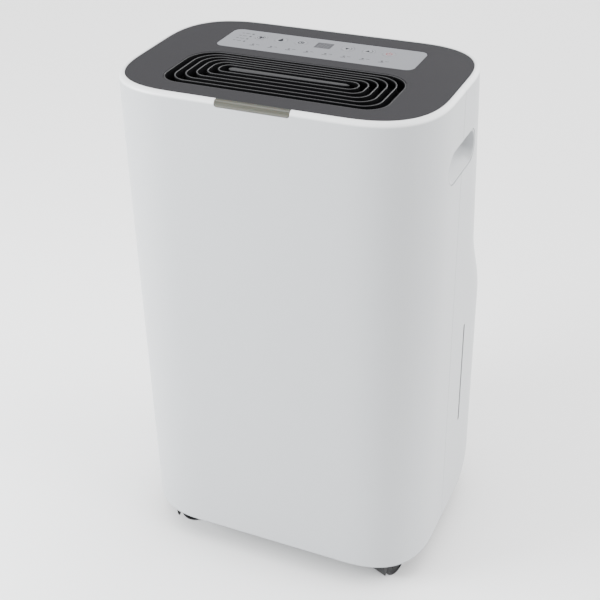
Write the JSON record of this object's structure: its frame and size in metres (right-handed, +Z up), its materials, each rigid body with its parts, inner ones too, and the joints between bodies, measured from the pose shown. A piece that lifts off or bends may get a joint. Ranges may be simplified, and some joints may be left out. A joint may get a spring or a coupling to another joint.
{
  "type": "portable dehumidifier",
  "caption": "Upright white portable compressor dehumidifier with a dark top panel, nested-ring air outlet, slide-out rear water tank and swivel casters",
  "frame": {"origin": "on the floor, under the middle of the bounding box", "axes": "+Z up, -Y towards the front face, +X towards the right side seen from the front; the tank slides out along +Y"},
  "size_m": [0.358, 0.286, 0.6],
  "materials": {
    "white_plastic": "satin white moulding",
    "panel_plastic": "satin dark grey",
    "black_plastic": "matt black",
    "strip_plastic": "satin light grey",
    "key_plastic": "satin light grey",
    "display_plastic": "tinted window",
    "lens_plastic": "translucent olive grey",
    "smoke_plastic": "translucent smoke grey",
    "frosted_plastic": "frosted translucent",
    "foam": "closed-cell white foam",
    "rubber": "matt black",
    "wheel_plastic": "satin black nylon",
    "painted_steel": "satin black enamel",
    "steel": "zinc plated",
    "copper": "drawn copper tube",
    "fins": "mill finish fins",
    "board": "green circuit board"
  },
  "bodies": {
    "housing": {"front_shell": "white_plastic", "rear_shell": "white_plastic", "top_panel": "panel_plastic", "outlet_grille": "black_plastic", "control_strip": "strip_plastic", "display_window": "display_plastic", "lamp_guide": "frosted_plastic", "control_board": "board", "humidity_light_bar": "lens_plastic", "left_handle_cup": "white_plastic", "right_handle_cup": "white_plastic", "level_window": "smoke_plastic", "drain_spout": "black_plastic", "cord_gland": "black_plastic", "base_tray": "black_plastic", "tank_bay": "black_plastic", "drip_tray": "black_plastic", "evaporator": "fins", "condenser": "fins", "compressor": "painted_steel", "compressor_terminal_cover": "black_plastic", "suction_line": "copper", "discharge_pipe": "copper", "capillary_tube": "copper", "fan_volute": "black_plastic", "fan_volute_cover": "black_plastic", "fan_motor": "steel", "electrics_box": "black_plastic", "main_board": "board", "run_capacitor": "steel", "humidity_sensor": "white_plastic", "tank_sensor": "board"},
    "intake_door": {"intake_grille": "white_plastic", "filter_frame": "black_plastic", "filter_mesh": "black_plastic"},
    "tank": {"tank_bucket": "frosted_plastic", "tank_lid": "white_plastic", "tank_fascia": "white_plastic"},
    "tank_bail": {"tank_handle": "black_plastic"},
    "float": {"tank_float": "foam"},
    "fan": {"fan_wheel": "black_plastic"},
    "drain_stopper": {"drain_plug": "rubber"},
    "timer_button": {"timer_key": "key_plastic"},
    "mode_button": {"mode_key": "key_plastic"},
    "fan_speed_button": {"fan_speed_key": "key_plastic"},
    "humidity_down_button": {"humidity_down_key": "key_plastic"},
    "humidity_up_button": {"humidity_up_key": "key_plastic"},
    "power_button": {"power_key": "key_plastic"},
    "front_left_swivel": {"front_left_caster_hood": "black_plastic"},
    "front_left_roller": {"front_left_caster_wheel": "wheel_plastic", "front_left_caster_axle": "steel"},
    "front_right_swivel": {"front_right_caster_hood": "black_plastic"},
    "front_right_roller": {"front_right_caster_wheel": "wheel_plastic", "front_right_caster_axle": "steel"},
    "rear_left_swivel": {"rear_left_caster_hood": "black_plastic"},
    "rear_left_roller": {"rear_left_caster_wheel": "wheel_plastic", "rear_left_caster_axle": "steel"},
    "rear_right_swivel": {"rear_right_caster_hood": "black_plastic"},
    "rear_right_roller": {"rear_right_caster_wheel": "wheel_plastic", "rear_right_caster_axle": "steel"}
  },
  "joints": [
    {"name": "tank_slide", "type": "slide", "parent": "housing", "child": "tank", "axis": [0, 1, 0], "range_m": [0, 0.25]},
    {"name": "tank_handle_swing", "type": "hinge", "parent": "tank", "child": "tank_bail", "pos_m": [0, 0.07, 0.299], "axis": [-1, 0, 0], "range_deg": [0, 90]},
    {"name": "float_swing", "type": "hinge", "parent": "tank", "child": "float", "pos_m": [-0.09, 0.026, 0.262], "axis": [1, 0, 0], "range_deg": [0, 24]},
    {"name": "intake_door_swing", "type": "hinge", "parent": "housing", "child": "intake_door", "pos_m": [0, 0.1113, 0.3802], "axis": [-1, 0, 0], "range_deg": [0, 60]},
    {"name": "fan_spin", "type": "hinge", "parent": "housing", "child": "fan", "pos_m": [0, -0.065, 0.44], "axis": [0, 1, 0], "continuous": true},
    {"name": "drain_plug_pull", "type": "slide", "parent": "housing", "child": "drain_stopper", "axis": [-1, 0, 0], "range_m": [0, 0.02]},
    {"name": "timer_press", "type": "slide", "parent": "housing", "child": "timer_button", "axis": [0, 0, -1], "range_m": [0, 0.0006], "stiffness_N_per_m": 400, "springref_m": -0.0006},
    {"name": "mode_press", "type": "slide", "parent": "housing", "child": "mode_button", "axis": [0, 0, -1], "range_m": [0, 0.0006], "stiffness_N_per_m": 400, "springref_m": -0.0006},
    {"name": "fan_speed_press", "type": "slide", "parent": "housing", "child": "fan_speed_button", "axis": [0, 0, -1], "range_m": [0, 0.0006], "stiffness_N_per_m": 400, "springref_m": -0.0006},
    {"name": "humidity_down_press", "type": "slide", "parent": "housing", "child": "humidity_down_button", "axis": [0, 0, -1], "range_m": [0, 0.0006], "stiffness_N_per_m": 400, "springref_m": -0.0006},
    {"name": "humidity_up_press", "type": "slide", "parent": "housing", "child": "humidity_up_button", "axis": [0, 0, -1], "range_m": [0, 0.0006], "stiffness_N_per_m": 400, "springref_m": -0.0006},
    {"name": "power_press", "type": "slide", "parent": "housing", "child": "power_button", "axis": [0, 0, -1], "range_m": [0, 0.0006], "stiffness_N_per_m": 400, "springref_m": -0.0006},
    {"name": "front_left_swivel_turn", "type": "hinge", "parent": "housing", "child": "front_left_swivel", "pos_m": [-0.135, -0.108, 0.03], "axis": [0, 0, 1], "continuous": true},
    {"name": "front_left_wheel_roll", "type": "hinge", "parent": "front_left_swivel", "child": "front_left_roller", "pos_m": [-0.12587, -0.10393, 0.015], "axis": [-0.4067, 0.9135, 0], "continuous": true},
    {"name": "front_right_swivel_turn", "type": "hinge", "parent": "housing", "child": "front_right_swivel", "pos_m": [0.135, -0.108, 0.03], "axis": [0, 0, 1], "continuous": true},
    {"name": "front_right_wheel_roll", "type": "hinge", "parent": "front_right_swivel", "child": "front_right_roller", "pos_m": [0.13875, -0.09873, 0.015], "axis": [-0.9272, 0.3746, 0], "continuous": true},
    {"name": "rear_left_swivel_turn", "type": "hinge", "parent": "housing", "child": "rear_left_swivel", "pos_m": [-0.135, 0.08, 0.03], "axis": [0, 0, 1], "continuous": true},
    {"name": "rear_left_wheel_roll", "type": "hinge", "parent": "rear_left_swivel", "child": "rear_left_roller", "pos_m": [-0.12734, 0.08643, 0.015], "axis": [-0.6428, 0.766, 0], "continuous": true},
    {"name": "rear_right_swivel_turn", "type": "hinge", "parent": "housing", "child": "rear_right_swivel", "pos_m": [0.135, 0.08, 0.03], "axis": [0, 0, 1], "continuous": true},
    {"name": "rear_right_wheel_roll", "type": "hinge", "parent": "rear_right_swivel", "child": "rear_right_roller", "pos_m": [0.1397, 0.08883, 0.015], "axis": [-0.8829, 0.4695, 0], "continuous": true}
  ]
}
